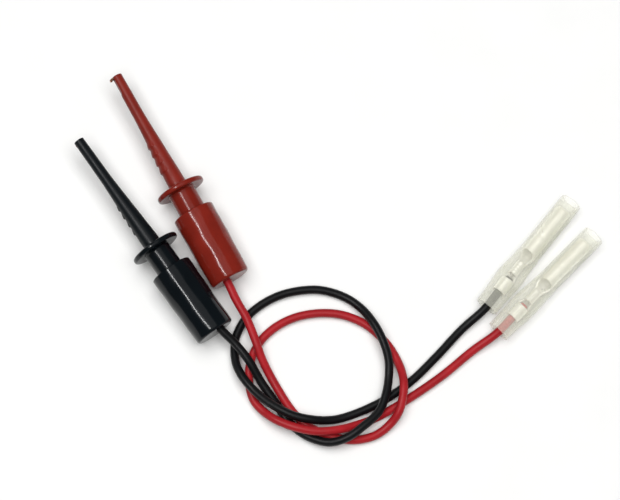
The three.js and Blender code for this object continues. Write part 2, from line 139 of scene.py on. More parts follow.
CAP_WAVES = (0.14, 4.2)  # depth and size of the waves in a moulded wall
CAP_SINK = 0.4  # how far the cap's waves lean inwards, as a share of their depth
NECK_WAVES = (0.01, 4.0)
NOZZLE_WAVES = (0.012, 2.5)
RIB_FADE = (0.3, 0.62)  # how far a wall faces the ribs' side, from no rib to a whole one
HOLE_CLEARANCE = 0.14
HOLE_FLARE = [(0.15, 0), (0.07, 0.06), (0.02, 0.15), (0, 0.25)]  # extra radius and depth
TIP_RAMP = 1  # length over which the flat at the nozzle's end comes in
RIBBED = (24, 38)  # stretch of the nozzle that is meshed finely, for its ribs
SLOT_SPARE = 0.37  # free depth of the slot under the hook
DEAD_TURNS = 0.9  # turns at each end of the spring that lie flat on the coil beside them
CLOSED_PITCH = 2.1 * SPRING_WIRE
GROOVES = (5.3, CORE_CRIMP_END - 0.15)  # cross grooves that grip the conductor
GROOVE_PITCH = 0.75
GROOVE_DEPTH = 0.05
BEAD = (15.2, 16.6)  # a shallow bead round the socket that holds the plug
BEAD_DEPTH = 0.07
SHEET_EDGE = 0.07
BULGE_AT = 8.3  # middle of the stretch where the crimps push the sleeve out
BULGE_REACH = 3.6
SLEEVE_WAVES = (0.03, 2.2)
STRAND_COUNT = 7
STRAND_LAY = 14  # length in which the strands twist once
COVER_EDGE = 0.08
COVER_DEPTH = 2.5  # how far the cover's inner wall goes in at each end

# Where each piece lies, as in the CAD source: spots are x and y in millimetres and a heading in
# degrees, and the routes are in metres. Bulges and seeds are for the fine surface only.
LEADS = {
    RED: {
        "clip": (15.81, -16.39, 119.3),
        "roll": 8,
        "exit": -0.9,
        "sleeve": (75.51, -27.87, 45.1),
        "terminal_roll": 0,
        "bulges": (0.36, 0.3),  # to the left and to the right
        "seed": 3.0,
        "sleeve_seed": 5.0,
        "route": [
            (0.0170, -0.0209, 0.0042), (0.0194, -0.0251, 0.0037), (0.0215, -0.0304, 0.0035),
            (0.0229, -0.0342, 0.0024), (0.0248, -0.0379, 0.0012), (0.0270, -0.0417, 0.0011),
            (0.0293, -0.0452, 0.0011), (0.0321, -0.0482, 0.0011), (0.0356, -0.0502, 0.0011),
            (0.0394, -0.0515, 0.0011), (0.0434, -0.0520, 0.0011), (0.0481, -0.0509, 0.0011),
            (0.0514, -0.0484, 0.0018), (0.0532, -0.0459, 0.0031), (0.0541, -0.0426, 0.0036),
            (0.0543, -0.0396, 0.0034), (0.0538, -0.0364, 0.0020), (0.0522, -0.0326, 0.0011),
            (0.0499, -0.0294, 0.0011), (0.0456, -0.0257, 0.0011), (0.0394, -0.0235, 0.0011),
            (0.0322, -0.0238, 0.0011), (0.0268, -0.0259, 0.0011), (0.0227, -0.0294, 0.0011),
            (0.0204, -0.0338, 0.0011), (0.0199, -0.0385, 0.0011), (0.0209, -0.0429, 0.0011),
            (0.0231, -0.0456, 0.0017), (0.0261, -0.0478, 0.0030), (0.0303, -0.0495, 0.0036),
            (0.0353, -0.0504, 0.0036), (0.0395, -0.0500, 0.0031), (0.0433, -0.0489, 0.0017),
            (0.0482, -0.0470, 0.0011), (0.0560, -0.0424, 0.0011), (0.0632, -0.0374, 0.0011),
            (0.0699, -0.0319, 0.0013),
        ],
    },
    BLACK: {
        "clip": (12.53, -28.46, 125.6),
        "roll": -58,
        "exit": 1.4,
        "sleeve": (72.94, -22.23, 50.9),
        "terminal_roll": -30,
        "bulges": (0.46, 0.36),
        "seed": 17.0,
        "sleeve_seed": 11.0,
        "route": [
            (0.0169, -0.0308, 0.0038), (0.0198, -0.0344, 0.0035), (0.0227, -0.0392, 0.0019),
            (0.0259, -0.0437, 0.0011), (0.0284, -0.0475, 0.0011), (0.0324, -0.0509, 0.0013),
            (0.0377, -0.0527, 0.0025), (0.0417, -0.0518, 0.0036), (0.0452, -0.0494, 0.0040),
            (0.0488, -0.0459, 0.0036), (0.0503, -0.0422, 0.0032), (0.0510, -0.0382, 0.0026),
            (0.0510, -0.0343, 0.0030), (0.0499, -0.0304, 0.0035), (0.0479, -0.0263, 0.0032),
            (0.0450, -0.0224, 0.0018), (0.0411, -0.0196, 0.0011), (0.0353, -0.0180, 0.0011),
            (0.0286, -0.0187, 0.0011), (0.0243, -0.0204, 0.0011), (0.0207, -0.0229, 0.0011),
            (0.0184, -0.0256, 0.0011), (0.0168, -0.0295, 0.0011), (0.0169, -0.0344, 0.0019),
            (0.0182, -0.0376, 0.0029), (0.0202, -0.0403, 0.0035), (0.0228, -0.0428, 0.0035),
            (0.0264, -0.0452, 0.0035), (0.0300, -0.0469, 0.0035), (0.0338, -0.0477, 0.0032),
            (0.0374, -0.0477, 0.0019), (0.0410, -0.0470, 0.0011), (0.0489, -0.0437, 0.0011),
            (0.0557, -0.0391, 0.0011), (0.0617, -0.0333, 0.0011), (0.0675, -0.0271, 0.0013),
        ],
    },
}

# --- Camera -------------------------------------------------------------------------------------

CAMERA_AIM = Vector((0.03351, -0.00854, 0))
CAMERA_DISTANCE = 0.5
CAMERA_TILT = math.radians(13)
CAMERA_LENS = 128.24


def make_camera():
    data = bpy.data.cameras.new("camera")
    data.sensor_width = 36
    data.lens = CAMERA_LENS
    data.clip_start = 0.01
    camera = bpy.data.objects.new("camera", data)
    back = Vector((0, -math.sin(CAMERA_TILT), math.cos(CAMERA_TILT)))
    camera.location = CAMERA_AIM + CAMERA_DISTANCE * back
    camera.rotation_euler = (CAMERA_TILT, 0, 0)
    bpy.context.scene.collection.objects.link(camera)
    bpy.context.scene.camera = camera


# --- Mesh building ------------------------------------------------------------------------------


def build(name, verts, faces, matrix, look, sharp=38):
    """A smooth-shaded mesh object from millimetre points, placed once and given its material."""
    data = bpy.data.meshes.new(name)
    data.from_pydata([matrix @ Vector(v) for v in verts], [], faces)
    work = bmesh.new()
    work.from_mesh(data)
    bmesh.ops.remove_doubles(work, verts=work.verts, dist=1e-8)
    bmesh.ops.recalc_face_normals(work, faces=work.faces)
    work.to_mesh(data)
    work.free()
    data.shade_smooth()
    data.set_sharp_from_angle(angle=math.radians(sharp))
    data.materials.append(look)
    made = bpy.data.objects.new(name, data)
    bpy.context.scene.collection.objects.link(made)
    return made


def skin(rings, loop=False, caps=False, open_ring=False):
    """Quads between matching rings of points. loop joins the last ring to the first."""
    size = len(rings[0])
    verts = [p for ring in rings for p in ring]
    faces = []
    count = len(rings)
    across = size - 1 if open_ring else size
    for s in range(count if loop else count - 1):
        a, b = s * size, ((s + 1) % count) * size
        for i in range(across):
            j = (i + 1) % size
            faces.append((a + i, a + j, b + j, b + i))
    if caps:
        faces.append(tuple(range(size))[::-1])
        faces.append(tuple((count - 1) * size + i for i in range(size)))
    return verts, faces


def filleted(corners, closed=True, steps=5):
    """An outline of [radius, height] points from corners of (radius, height, rounding)."""
    out = []
    count = len(corners)
    for i, (x, y, cut) in enumerate(corners):
        here = Vector((x, y))
        if cut <= 0 or (not closed and i in (0, count - 1)):
            out.append(here)
            continue
        before = (Vector(corners[i - 1][:2]) - here).normalized() * cut
        after = (Vector(corners[(i + 1) % count][:2]) - here).normalized() * cut
        for k in range(steps + 1):
            t = k / steps
            out.append(here + before * (1 - t) ** 2 + after * t**2)
    return out


def dense(outline, step, closed=True):
    """The outline again, with long straight runs split up."""
    out = []
    count = len(outline)
    for i in range(count if closed else count - 1):
        a, b = outline[i], outline[(i + 1) % count]
        parts = max(1, math.ceil((b - a).length / step))
        out += [a.lerp(b, k / parts) for k in range(parts)]
    if not closed:
        out.append(outline[-1])
    return out


def around(radius, height, sides, shape=None):
    """One ring about +Y. shape(angle, radius, height) may change the radius; angle 0 is up."""
    ring = []
    for i in range(sides):
        angle = 2 * math.pi * i / sides
        r = shape(angle, radius, height) if shape else radius
        ring.append((r * math.sin(angle), height, r * math.cos(angle)))
    return ring


def turned(outline, sides, shape=None, closed=True):
    """A body of revolution about +Y. An outline that isn't closed starts and ends on the axis."""
    return skin([around(p.x, p.y, sides, shape) for p in outline], loop=closed)


def catmull(points, per_segment):
    """A centripetal Catmull-Rom curve through the points."""
    first = points[0] * 2 - points[1]
    last = points[-1] * 2 - points[-2]
    full = [first, *points, last]
    out = []
    for p0, p1, p2, p3 in zip(full, full[1:], full[2:], full[3:]):
        d0 = (p1 - p0).length ** 0.5
        d1 = (p2 - p1).length ** 0.5
        d2 = (p3 - p2).length ** 0.5
        m1 = ((p1 - p0) / d0 - (p2 - p0) / (d0 + d1) + (p2 - p1) / d1) * d1
        m2 = ((p2 - p1) / d1 - (p3 - p1) / (d1 + d2) + (p3 - p2) / d2) * d1
        for k in range(per_segment):
            t = k / per_segment
            c = p1 * (2 * t**3 - 3 * t**2 + 1) + p2 * (3 * t**2 - 2 * t**3)
            out.append(c + m1 * (t**3 - 2 * t**2 + t) + m2 * (t**3 - t**2))
    out.append(points[-1])
    return out


def along(line):
    """Distance of each point of a line from its start."""
    out = [0.0]
    for a, b in zip(line, line[1:]):
        out.append(out[-1] + (b - a).length)
    return out


def resampled(line, step, start=0.0, stop=0.0):
    """Even points along a line, leaving out a length at its start and at its stop."""
    at = along(line)
    low, high = start, at[-1] - stop
    count = max(2, math.ceil((high - low) / step) + 1)
    out, k = [], 0
    for i in range(count):
        want = low + (high - low) * i / (count - 1)
        while k < len(at) - 2 and at[k + 1] < want:
            k += 1
        share = (want - at[k]) / max(at[k + 1] - at[k], 1e-9)
        out.append(line[k].lerp(line[k + 1], share))
    return out


def frames(line):
    """Two unit vectors across the line at each point, turning as little as they can."""
    ahead = (line[1] - line[0]).normalized()
    side = ahead.orthogonal().normalized()
    out = []
    for i in range(len(line)):
        a = line[max(i - 1, 0)]
        b = line[min(i + 1, len(line) - 1)]
        new = (b - a).normalized()
        side = (ahead.rotation_difference(new) @ side).normalized()
        side = (side - new * side.dot(new)).normalized()
        ahead = new
        out.append((side, new.cross(side)))
    return out


def tube_rings(line, radii, sides):
    rings = []
    for p, r, (u, v) in zip(line, radii, frames(line)):
        ring = []
        for k in range(sides):
            angle = 2 * math.pi * k / sides
            ring.append(p + u * (r * math.cos(angle)) + v * (r * math.sin(angle)))
        rings.append(ring)
    return rings


def rounded_rod(line, radius, sides):
    """A solid bar along a line, with domed ends."""
    total = along(line)[-1]
    stations = resampled(line, total / (len(line) - 1))
    at = along(stations)
    points, radii = [], []
    for p, d in zip(stations, at):
        r = radius
        for near in (d, at[-1] - d):
            if near < radius:
                r = radius * math.sqrt(max(0.0025, 1 - (1 - near / radius) ** 2))
        points.append(p)
        radii.append(r)
    return skin(tube_rings(points, radii, sides), caps=True)


def smoothstep(low, high, x):
    t = min(1.0, max(0.0, (x - low) / (high - low)))
    return t * t * (3 - 2 * t)


def wobble(x, y, z, size):
    """Smooth noise from about -1 to 1 with lumps of the given size."""
    return noise.noise(Vector((x, y, z)) / size)


# --- Placing ------------------------------------------------------------------------------------


def placed(spot, height, lean, roll=0.0):
    """The matrix from a clip's or sleeve's millimetre frame to the model's frame in metres."""
    x, y, degrees = spot
    heading = math.radians(degrees)
    forward = Vector(
        (
            math.cos(lean) * math.cos(heading),
            math.cos(lean) * math.sin(heading),
            math.sin(lean),
        )
    )
    right = Vector((math.sin(heading), -math.cos(heading), 0))
    up = right.cross(forward)
    turn = Matrix((right, forward, up)).transposed().to_4x4()
    move = Matrix.Translation(Vector((x, y, height)))
    return Matrix.Scale(MM, 4) @ move @ turn @ Matrix.Rotation(math.radians(roll), 4, "Y")


def clip_lean():
    run = FLANGE - FLANGE_THICKNESS / 2 + FLANGE_EDGE - CAP_EDGE
    return math.atan((FLANGE_RADIUS - CAP_RADIUS) / run)


def clip_height():
    lean = clip_lean()
    return (CAP_RADIUS - CAP_EDGE * math.tan(lean)) * math.cos(lean)


def sleeve_lean():
    return -math.atan((SLEEVE_WIDE - SLEEVE_SLIM) / (SLEEVE_LENGTH - SLEEVE_STEP + SLEEVE_TAPER))


def sleeve_height():
    lean = sleeve_lean()
    return (SLEEVE_WIDE - (SLEEVE_STEP - SLEEVE_TAPER) * math.tan(lean)) * math.cos(lean)


# --- Materials ----------------------------------------------------------------------------------


class Look:
    """A material with one Principled shader, and short ways to add procedural detail to it."""

    def __init__(self, name, metallic=0.0):
        self.material = bpy.data.materials.new(name)
        self.material.use_nodes = True
        self.tree = self.material.node_tree
        self.shader = self.tree.nodes["Principled BSDF"]
        self.shader.inputs["Metallic"].default_value = metallic
        self.place = self.tree.nodes.new("ShaderNodeTexCoord").outputs["Object"]

    def node(self, kind, **values):
        made = self.tree.nodes.new(kind)
        for key, value in values.items():
            setattr(made, key, value)
        return made

    def noise(self, scale, detail=3.0, stretch=None):
        """Noise in the model's frame; stretch is a (scale, rotation) pair for streaks."""
        source = self.place
        if stretch:
            mapping = self.node("ShaderNodeMapping")
            mapping.inputs["Rotation"].default_value = stretch[1]
            mapping.inputs["Scale"].default_value = stretch[0]
            self.tree.links.new(source, mapping.inputs["Vector"])
            source = mapping.outputs["Vector"]
        made = self.node("ShaderNodeTexNoise")
        made.inputs["Scale"].default_value = scale
        made.inputs["Detail"].default_value = detail
        self.tree.links.new(source, made.inputs["Vector"])
        return made.outputs["Fac"]

    def ramp(self, source, stops):
        made = self.node("ShaderNodeValToRGB")
        band = made.color_ramp
        while len(band.elements) < len(stops):
            band.elements.new(0.5)
        for element, (at, color) in zip(band.elements, stops):
            element.position = at
            element.color = (*color, 1)
        self.tree.links.new(source, made.inputs["Fac"])
        return made.outputs["Color"]

    def range(self, source, low, high, start=0.3, end=0.7):
        made = self.node("ShaderNodeMapRange")
        for key, value in (
            ("From Min", start),
            ("From Max", end),
            ("To Min", low),
            ("To Max", high),
        ):
            made.inputs[key].default_value = value
        self.tree.links.new(source, made.inputs["Value"])
        return made.outputs["Result"]

    def math(self, operation, a, b):
        made = self.node("ShaderNodeMath", operation=operation)
        for socket, value in zip(made.inputs, (a, b)):
            if isinstance(value, (int, float)):
                socket.default_value = value
            else:
                self.tree.links.new(value, socket)
        return made.outputs["Value"]

    def mix(self, share, a, b):
        """Between two colours by a share; each is a socket or an (r, g, b)."""
        made = self.node("ShaderNodeMix", data_type="RGBA")
        self.tree.links.new(share, made.inputs["Factor"])
        for socket, value in ((made.inputs[6], a), (made.inputs[7], b)):
            if isinstance(value, tuple):
                socket.default_value = (*value, 1)
            else:
                self.tree.links.new(value, socket)
        return made.outputs[2]

    def bump(self, height, distance, strength=1.0, after=None):
        made = self.node("ShaderNodeBump")
        made.inputs["Distance"].default_value = distance
        made.inputs["Strength"].default_value = strength
        self.tree.links.new(height, made.inputs["Height"])
        if after:
            self.tree.links.new(after, made.inputs["Normal"])
        return made.outputs["Normal"]

    def done(self, color=None, roughness=None, normal=None, **constants):
        sockets = self.shader.inputs
        for socket, value in (
            (sockets["Base Color"], color),
            (sockets["Roughness"], roughness),
            (sockets["Normal"], normal),
        ):
            if value:
                self.tree.links.new(value, socket)
        for key, value in constants.items():
            sockets[key.replace("_", " ")].default_value = value
        return self.material


def shaded(color, share):
    return tuple(c * share for c in color)


def plastic(name, color, roughness, grain, nozzle=None):
    """Moulded plastic: faint flow marks, orange peel, hairline scratches and rubbed edges.

    nozzle is a (satin roughness, clip spot) pair for a piece that turns satin past its flange.
    """
    look = Look(name)
    flow = look.noise(190, 4)
    tone = look.ramp(
        flow,
        [(0.3, shaded(color, 0.86)), (0.52, color), (0.72, shaded(color, 1.13))],
    )
    edge = look.node("ShaderNodeNewGeometry").outputs["Pointiness"]
    rubbed = look.range(edge, 0, 0.3, 0.53, 0.62)
    tone = look.mix(rubbed, tone, tuple(min(1, c * 1.6 + 0.02) for c in color))
    scratch = look.noise(900, 2, ((1, 0.06, 1), (0, 0, 0.5)))
    fine = look.noise(2600, 3)
    worn = look.range(scratch, 0, 0.07, 0.58, 0.7)
    base = look.range(flow, roughness * 0.85, roughness * 1.2)
    if nozzle:
        satin, spot = nozzle
        matrix = placed(spot, clip_height(), clip_lean())
        ahead = (matrix.to_3x3() @ Vector((0, 1, 0))).normalized()
        start = ahead.dot(matrix @ Vector((0, FLANGE + 1, 0)))
        reach = look.node("ShaderNodeVectorMath", operation="DOT_PRODUCT")
        look.tree.links.new(look.place, reach.inputs[0])
        reach.inputs[1].default_value = ahead
        more = look.range(reach.outputs["Value"], 0, satin - roughness, start, start + 0.001)
        base = look.math("ADD", base, more)
    rough = look.math("ADD", base, worn)
    peel = look.bump(look.noise(700, 2), 0.00002, grain)
    normal = look.bump(fine, 0.000006, grain, peel)
    return look.done(tone, rough, normal, Specular_IOR_Level=0.7, IOR=1.3)


def vinyl(name, color, dust):
    """Soft extruded wire cover: satin, with a faint grain and specks of dust."""
    look = Look(name)
    cloud = look.noise(240, 3)
    tone = look.ramp(
        cloud,
        [(0.3, shaded(color, 0.85)), (0.55, color), (0.75, shaded(color, 1.15))],
    )
    specks = look.range(look.noise(5200, 1), 0, 0.35, 0.72, 0.8)
    tone = look.mix(specks, tone, dust)
    grain = look.noise(1500, 2)
    rough = look.range(cloud, 0.38, 0.48)
    normal = look.bump(grain, 0.00001, 0.5)
    return look.done(tone, rough, normal, Specular_IOR_Level=0.3)


def metal(name, color, tarnish, roughness, grain=0.4, patch=500, metallic=1.0):
    """Drawn, stamped or plated metal with patches of tarnish and fine drawing marks."""
    look = Look(name, metallic)
    cloud = look.noise(patch, 4)
    tone = look.ramp(cloud, [(0.3, tarnish), (0.5, color), (0.75, shaded(color, 1.05))])
    streak = look.noise(2600, 3, ((1, 0.15, 1), (0, 0, 0.8)))
    rough = look.math(
        "ADD",
        look.range(cloud, roughness * 1.4, roughness * 0.8),
        look.range(streak, 0, 0.12, 0.45, 0.75),
    )
    normal = look.bump(streak, 0.000008, grain)
    return look.done(tone, rough, normal)


def milky(name):
    """Soft clear tube, a little yellowed: a milky veil, denser where it is seen edge on."""
    color, yellowed, pale = (0.93, 0.925, 0.8), (0.89, 0.89, 0.75), (0.96, 0.955, 0.86)
    look = Look(name)
    cloud = look.noise(260, 3)
    tone = look.ramp(cloud, [(0.3, yellowed), (0.55, color), (0.75, pale)])
    rough = look.range(cloud, 0.24, 0.4)
    normal = look.bump(look.noise(700, 2), 0.00002, 0.2)
    facing = look.node("ShaderNodeLayerWeight")
    facing.inputs["Blend"].default_value = 0.32
    alpha = look.range(facing.outputs["Facing"], 0.14, 0.6, 0.0, 1.0)
    look.tree.links.new(alpha, look.shader.inputs["Alpha"])
    look.material.surface_render_method = "BLENDED"
    return look.done(tone, rough, normal, IOR=1.45)


RED_PLASTIC = (0.172, 0.0125, 0.0065)
BLACK_PLASTIC = (0.0014, 0.003, 0.0044)
RED_NOZZLE = (0.42, LEADS[RED]["clip"])
BLACK_NOZZLE = (0.42, LEADS[BLACK]["clip"])
LOOKS = {
    "red_cap": plastic("red_gloss_plastic", RED_PLASTIC, 0.15, 0.25),
    "black_cap": plastic("black_gloss_plastic", BLACK_PLASTIC, 0.14, 0.25),
    "red_barrel": plastic("red_satin_plastic", RED_PLASTIC, 0.2, 0.3, nozzle=RED_NOZZLE),
    "black_barrel": plastic("black_satin_plastic", BLACK_PLASTIC, 0.2, 0.3, nozzle=BLACK_NOZZLE),
    "red_wire": vinyl("red_wire_vinyl", (0.34, 0.011, 0.016), dust=(0.5, 0.12, 0.12)),
    "black_wire": vinyl("black_wire_vinyl", (0.0022, 0.0024, 0.003), dust=(0.04, 0.04, 0.04)),
    "bronze": metal("bronze_wire", (0.4, 0.19, 0.12), (0.24, 0.11, 0.07), 0.34),
    "brass": metal("brass_washer", (0.72, 0.56, 0.28), (0.46, 0.33, 0.16), 0.28),
    "solder": metal(
        "solder_metal", (0.74, 0.74, 0.76), (0.5, 0.5, 0.52), 0.22, grain=0.8, patch=900
    ),
    "steel": metal("spring_steel_wire", (0.6, 0.6, 0.62), (0.38, 0.37, 0.36), 0.26),
    "strands": metal("tinned_strands", (0.74, 0.71, 0.66), (0.5, 0.46, 0.4), 0.32),
    "tin": metal(
        "tinned_brass_sheet",
        (0.95, 0.935, 0.85),
        (0.87, 0.85, 0.77),
        0.3,
        grain=0.1,
        patch=260,
        metallic=0.55,
    ),
    "clear": milky("clear_vinyl_tube"),
}


# --- Clip ---------------------------------------------------------------------------------------


def cap_shape(seed):
    outline = filleted(
        [
            (0, 0, 0),
            (CAP_RADIUS, 0, CAP_EDGE),
            (CAP_FRONT_RADIUS, CAP_LENGTH, 0.35),
            (CAP_BORE, CAP_LENGTH, 0.12),
            (CAP_BORE, LEDGE, 0.1),
            (CAP_CHAMBER, LEDGE, 0.1),
            (CAP_CHAMBER, CAP_WALL, 0.2),
            (0, CAP_WALL, 0),
        ],
        closed=False,
    )

    def sunk(angle, radius, height):
        """Moulded walls are never quite true, which is what bends their highlights."""
        x, z = radius * math.sin(angle), radius * math.cos(angle)
        depth, size = CAP_WAVES
        waves = wobble(x + seed, height, z, size)
        return radius + depth * min(1.0, radius / CAP_RADIUS) * (waves - CAP_SINK)

    return turned(dense(outline, 0.6, closed=False), 112, sunk, closed=False)


def cap_hole_shape():
    """The wire's hole in the cap's rear wall, flared at the outer face."""
    reach = CAP_WALL / 2
    snug = WIRE_RADIUS + HOLE_CLEARANCE
    outline = [(0, -reach), (snug + reach, -reach)]
    outline += [(snug + extra, depth) for extra, depth in HOLE_FLARE]
    outline += [(snug, CAP_WALL + reach), (0, CAP_WALL + reach)]
    return turned([Vector(p) for p in outline], 48, closed=False)


def nozzle_radius(at):
    if at < NOZZLE_WAIST_AT:
        share = (at - NOZZLE_START) / (NOZZLE_WAIST_AT - NOZZLE_START)
        return NOZZLE_BASE + (NOZZLE_WAIST - NOZZLE_BASE) * share
    share = (at - NOZZLE_WAIST_AT) / (CLIP_LENGTH - NOZZLE_WAIST_AT)
    return NOZZLE_WAIST + (NOZZLE_TIP - NOZZLE_WAIST) * share


def rib_lift(at):
    """Height of the saw-tooth ribs: a slow rise towards the flange and then a sharp step."""
    best = 0.0
    for i in range(RIB_COUNT):
        crest = RIB_AT + i * RIB_PITCH
        if crest <= at <= crest + RIB_RAMP:
            best = max(best, RIB_HEIGHT * (1 - (at - crest) / RIB_RAMP) ** 0.8)
        elif crest - RIB_DROP <= at < crest:
            best = max(best, RIB_HEIGHT * (1 - (crest - at) / RIB_DROP))
    return best


def barrel_shape(seed):
    rear = FLANGE - FLANGE_THICKNESS / 2
    front = FLANGE + FLANGE_THICKNESS / 2
    outer = filleted(
        [
            (POCKET_RADIUS, NECK_END, 0.1),
            (NECK_RADIUS, NECK_END, 0.2),
            (NECK_RADIUS, rear, 0.45),
            (FLANGE_RADIUS, rear, 0.56),
            (FLANGE_RADIUS, front, 0.56),
            (NOZZLE_BASE + 0.07, front, FILLET),
            (nozzle_radius(NOZZLE_START), NOZZLE_START, 0.3),
            (NOZZLE_WAIST, NOZZLE_WAIST_AT, 1.5),
            (NOZZLE_TIP, CLIP_LENGTH, 0.16),
            (HOOK_BORE, CLIP_LENGTH, 0.1),
            (HOOK_BORE, POCKET_END, 0.05),
            (POCKET_RADIUS, POCKET_END, 0.1),
        ]
    )
    flat_from = CLIP_LENGTH - TIP_FLAT_LENGTH

    def shape(angle, radius, height):
        """The ribs, the slot and the flat at the tip are all on the side that faces -X."""
        x, z = radius * math.sin(angle), radius * math.cos(angle)
        inner = radius < nozzle_radius(max(height, NOZZLE_START)) - GAP
        if inner or height < NOZZLE_START:
            depth, size = NECK_WAVES
            return radius + depth * wobble(x + seed, height, z, size)
        facing = math.cos(angle + math.pi / 2)
        lift = rib_lift(height) * smoothstep(*RIB_FADE, facing)
        depth, size = NOZZLE_WAVES
        grown = radius + lift + depth * wobble(x + seed, height, z, size)
        if height > flat_from - TIP_RAMP and facing > 0.1:
            easing = 0.3 * (1 - smoothstep(flat_from - TIP_RAMP, flat_from, height))
            grown = min(grown, (TIP_FLAT + easing) / facing)
        return grown

    steps = []
    for p, q in zip(outer, outer[1:] + outer[:1]):
        outside = p.x > NOZZLE_TIP and q.x > NOZZLE_TIP
        ribbed = outside and p.y > RIBBED[0] and min(p.y, q.y) < RIBBED[1]
        parts = max(1, math.ceil((q - p).length / (0.12 if ribbed else 0.5)))
        steps += [p.lerp(q, k / parts) for k in range(parts)]
    return turned(steps, 96, shape)


def carve(piece, verts, faces, matrix):
    """Takes a shape out of a piece."""
    cutter = build("cutter", verts, faces, matrix, piece.data.materials[0])
    change = piece.modifiers.new("cut", "BOOLEAN")
    change.object = cutter
    change.operation = "DIFFERENCE"
    change.solver = "EXACT"
    bpy.context.view_layer.update()
    ready = piece.evaluated_get(bpy.context.evaluated_depsgraph_get())
    result = bpy.data.meshes.new_from_object(ready)
    piece.modifiers.clear()
    piece.data = result
    bpy.data.objects.remove(cutter)


def slot_shape():
    """The notch in the nozzle's end that the bent-over hook lies in, rounded at the bottom."""
    depth = CLIP_LENGTH - HOOK_TOP + HOOK_RADIUS + SLOT_SPARE
    low, high = CLIP_LENGTH - depth, CLIP_LENGTH + depth
    neck, mouth = HOOK_BORE + 0.02, HOOK_BORE + 0.25
    outline = filleted(
        [
            (-HOOK_BORE, low, 0.25),
            (HOOK_BORE, low, 0.25),
            (neck, CLIP_LENGTH - 0.15, 0.1),
            (mouth, high, 0),
            (-mouth, high, 0),
            (-neck, CLIP_LENGTH - 0.15, 0.1),
        ]
    )
    rings = [[(x, p.y, p.x) for p in outline] for x in (-NECK_RADIUS, HOOK_BORE)]
    return skin(rings, caps=True)


def hook_shape():
    points = [Vector((0, HOOK_TAIL, 0)), Vector((0, HOOK_STRAIGHT - 1, 0))]
    points += [Vector((x, y, 0)) for x, y in HOOK_BEND]
    line = resampled(catmull(points, 24), 0.12)
    return rounded_rod(line, HOOK_RADIUS, 16)


def washer_shape():
    rear = LEDGE + GAP
    outline = filleted(
        [
            (HOOK_BORE, rear, 0.08),
            (CAP_BORE - GAP, rear, 0.14),
            (CAP_BORE - GAP, rear + WASHER_THICKNESS, 0.14),
            (HOOK_BORE, rear + WASHER_THICKNESS, 0.08),
        ]
    )
    return turned(dense(outline, 0.5), 64)


def side_of(lead):
    """The side of the clip that the wire lies on, as 1 or -1 along X."""
    return math.copysign(1, lead["exit"])


def solder_shape(side):
    """A lens of solder, drawn up a little round the hook's tail and the conductor."""
    rings = []
    count = 25
    wide, thick, tall = SOLDER_SIZE
    for i in range(1, count):
        polar = math.pi * i / count
        ring = []
        for k in range(40):
            angle = 2 * math.pi * k / 40
            x = math.sin(polar) * math.cos(angle)
            z = math.sin(polar) * math.sin(angle)
            y = -math.cos(polar)
            swell = 1 + 0.06 * wobble(x * 3 + side, y * 3, z * 3, 1.3)
            rise = 0.14 * math.exp(-((x * wide + side * SOLDER_SHIFT) ** 2) * 3)
            point = (
                side * SOLDER_SHIFT + wide * x * swell,
                SOLDER_AT + (thick + rise) * y * swell,
                tall * z * swell,
            )
            ring.append(point)
        rings.append(ring)
    return skin(rings, caps=True)


def spring_shape():
    start = LEDGE + GAP + WASHER_THICKNESS + SPRING_WIRE + SPRING_SEAT
    stop = POCKET_END - SPRING_WIRE - SPRING_SEAT
    open_turns = SPRING_TURNS - 2 * DEAD_TURNS
    open_length = stop - start - 2 * CLOSED_PITCH * DEAD_TURNS
    line = []
    count = 36 * SPRING_TURNS
    for i in range(count + 1):
        turn = SPRING_TURNS * i / count
        share = min(1.0, max(0.0, (turn - DEAD_TURNS) / open_turns))
        closed_turns = min(turn, DEAD_TURNS) + max(0.0, turn - DEAD_TURNS - open_turns)
        height = start + CLOSED_PITCH * closed_turns + open_length * share
        angle = 2 * math.pi * turn
        line.append(
            Vector((SPRING_RADIUS * math.cos(angle), height, SPRING_RADIUS * math.sin(angle)))
        )
    return rounded_rod(line, SPRING_WIRE, 10)


def make_clip(colour, lead):
    height, lean = clip_height(), clip_lean()
    straight = placed(lead["clip"], height, lean)
    rolled = placed(lead["clip"], height, lean, lead["roll"])
    seed = lead["seed"]
    cap = build(f"{colour}_cap", *cap_shape(seed), straight, LOOKS[f"{colour}_cap"], sharp=50)
    barrel = build(
        f"{colour}_nozzle", *barrel_shape(seed), rolled, LOOKS[f"{colour}_barrel"], sharp=50
    )
    carve(barrel, *slot_shape(), rolled)
    carve(cap, *cap_hole_shape(), straight @ Matrix.Translation((lead["exit"], 0, 0)))
    hook = build(f"{colour}_hook_wire", *hook_shape(), rolled, LOOKS["bronze"])
    washer = build(f"{colour}_washer", *washer_shape(), rolled, LOOKS["brass"])
    spring = build(f"{colour}_spring", *spring_shape(), rolled, LOOKS["steel"])
    joint = build(
        f"{colour}_solder", *solder_shape(side_of(lead)), straight, LOOKS["solder"]
    )
    for piece, node, slot in (
        (cap, "plunger_cap", f"{colour}_plastic"),
        (hook, "hook", "bronze"),
        (washer, "contact_washer", "brass"),
        (spring, "return_spring", "spring_steel"),
        (joint, "solder_joint", "solder"),
    ):
        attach(piece, "leads")
        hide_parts(f"{colour}_{node}")
    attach(barrel, f"{colour}_barrel")
    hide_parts(f"{colour}_barrel")
    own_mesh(spring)
    return straight


# --- Terminal and sleeve ------------------------------------------------------------------------


